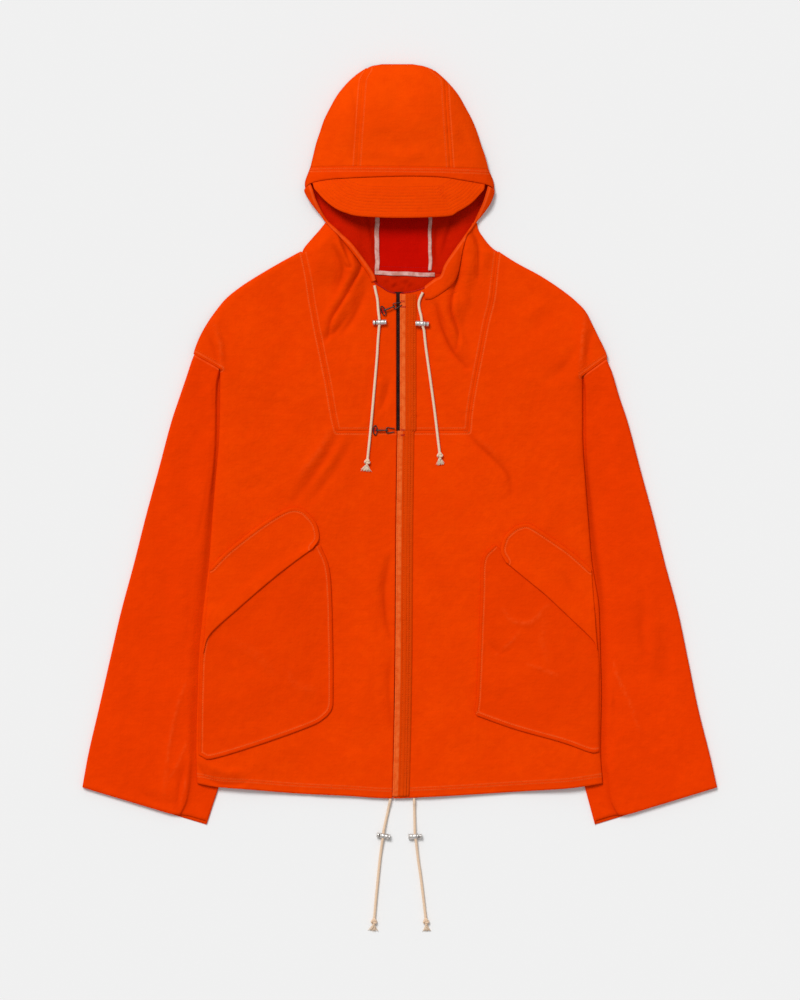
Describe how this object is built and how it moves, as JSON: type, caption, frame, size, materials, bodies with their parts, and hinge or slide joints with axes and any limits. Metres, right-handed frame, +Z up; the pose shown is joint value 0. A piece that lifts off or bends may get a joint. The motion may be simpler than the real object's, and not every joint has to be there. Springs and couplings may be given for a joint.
{
  "type": "raincoat",
  "caption": "Hooded raincoat jacket laid flat, front up: visored hood, bib chest, placket, flap pockets and drawcords with sprung cord locks.",
  "frame": {"origin": "on the surface it lies on, under the middle of the coat's plan, cords left out", "axes": "+Z up from the surface, through the coat from back to front; +Y from hem to hood; the wearer's right side is at -X"},
  "size_m": [0.8249, 1.1263, 0.0378],
  "materials": {
    "orange_cloth": "dense waxed cotton, matt with a faint weave",
    "hood_inside": "the cloth's darker inner face, matt",
    "binding_cloth": "smooth light orange facing, satin",
    "seam_tape": "pale pink seam tape, matt",
    "zip_tape": "dark woven zip tape, matt",
    "clasp_metal": "dark, worn",
    "cord": "braided ecru cord, matt",
    "cord_lock_metal": "silver, satin"
  },
  "bodies": {
    "coat": {"back_panel": "orange_cloth", "front_right": "orange_cloth", "front_left": "orange_cloth", "sleeve_right": "orange_cloth", "sleeve_left": "orange_cloth", "chest_right": "orange_cloth", "chest_left": "orange_cloth", "crown_centre": "orange_cloth", "crown_side_right": "orange_cloth", "crown_side_left": "orange_cloth", "brim_band": "orange_cloth", "visor": "orange_cloth", "opening_hem_right": "orange_cloth", "opening_hem_left": "orange_cloth", "pocket_right": "orange_cloth", "pocket_left": "orange_cloth", "pocket_flap_right": "orange_cloth", "pocket_flap_left": "orange_cloth", "placket_chest": "orange_cloth", "placket_body": "orange_cloth", "hood_back_centre": "hood_inside", "hood_back_side_right": "hood_inside", "hood_back_side_left": "hood_inside", "binding_chest": "binding_cloth", "binding_body": "binding_cloth", "seam_tape_right": "seam_tape", "seam_tape_left": "seam_tape", "seam_tape_neck": "seam_tape", "zip_tape": "zip_tape", "clasp_neck_eye": "clasp_metal", "clasp_neck_rod": "clasp_metal", "clasp_neck_link": "clasp_metal", "clasp_chest_eye": "clasp_metal", "clasp_chest_rod": "clasp_metal", "clasp_chest_link": "clasp_metal", "hood_cord_right_above": "cord", "hood_cord_right_below": "cord", "hood_cord_right_knot": "cord", "hood_cord_left_above": "cord", "hood_cord_left_below": "cord", "hood_cord_left_knot": "cord", "hem_cord_right_above": "cord", "hem_cord_right_below": "cord", "hem_cord_right_knot": "cord", "hem_cord_left_above": "cord", "hem_cord_left_below": "cord", "hem_cord_left_knot": "cord", "hood_cord_right_lock": "cord_lock_metal", "hood_cord_left_lock": "cord_lock_metal", "hem_cord_right_lock": "cord_lock_metal", "hem_cord_left_lock": "cord_lock_metal"},
    "hood_cord_right_plunger": {"hood_cord_right_lock_plunger": "cord_lock_metal"},
    "hood_cord_left_plunger": {"hood_cord_left_lock_plunger": "cord_lock_metal"},
    "hem_cord_right_plunger": {"hem_cord_right_lock_plunger": "cord_lock_metal"},
    "hem_cord_left_plunger": {"hem_cord_left_lock_plunger": "cord_lock_metal"}
  },
  "joints": [
    {"name": "hood_cord_right_press", "type": "slide", "parent": "coat", "child": "hood_cord_right_plunger", "axis": [0.9994, 0.0349, 0], "range_m": [0, 0.001], "stiffness_N_per_m": 500, "springref_m": -0.001},
    {"name": "hood_cord_left_press", "type": "slide", "parent": "coat", "child": "hood_cord_left_plunger", "axis": [-0.9986, 0.0523, 0], "range_m": [0, 0.001], "stiffness_N_per_m": 500, "springref_m": -0.001},
    {"name": "hem_cord_right_press", "type": "slide", "parent": "coat", "child": "hem_cord_right_plunger", "axis": [0.9848, -0.1736, 0], "range_m": [0, 0.001], "stiffness_N_per_m": 500, "springref_m": -0.001},
    {"name": "hem_cord_left_press", "type": "slide", "parent": "coat", "child": "hem_cord_left_plunger", "axis": [-0.9994, -0.0349, 0], "range_m": [0, 0.001], "stiffness_N_per_m": 500, "springref_m": -0.001}
  ]
}
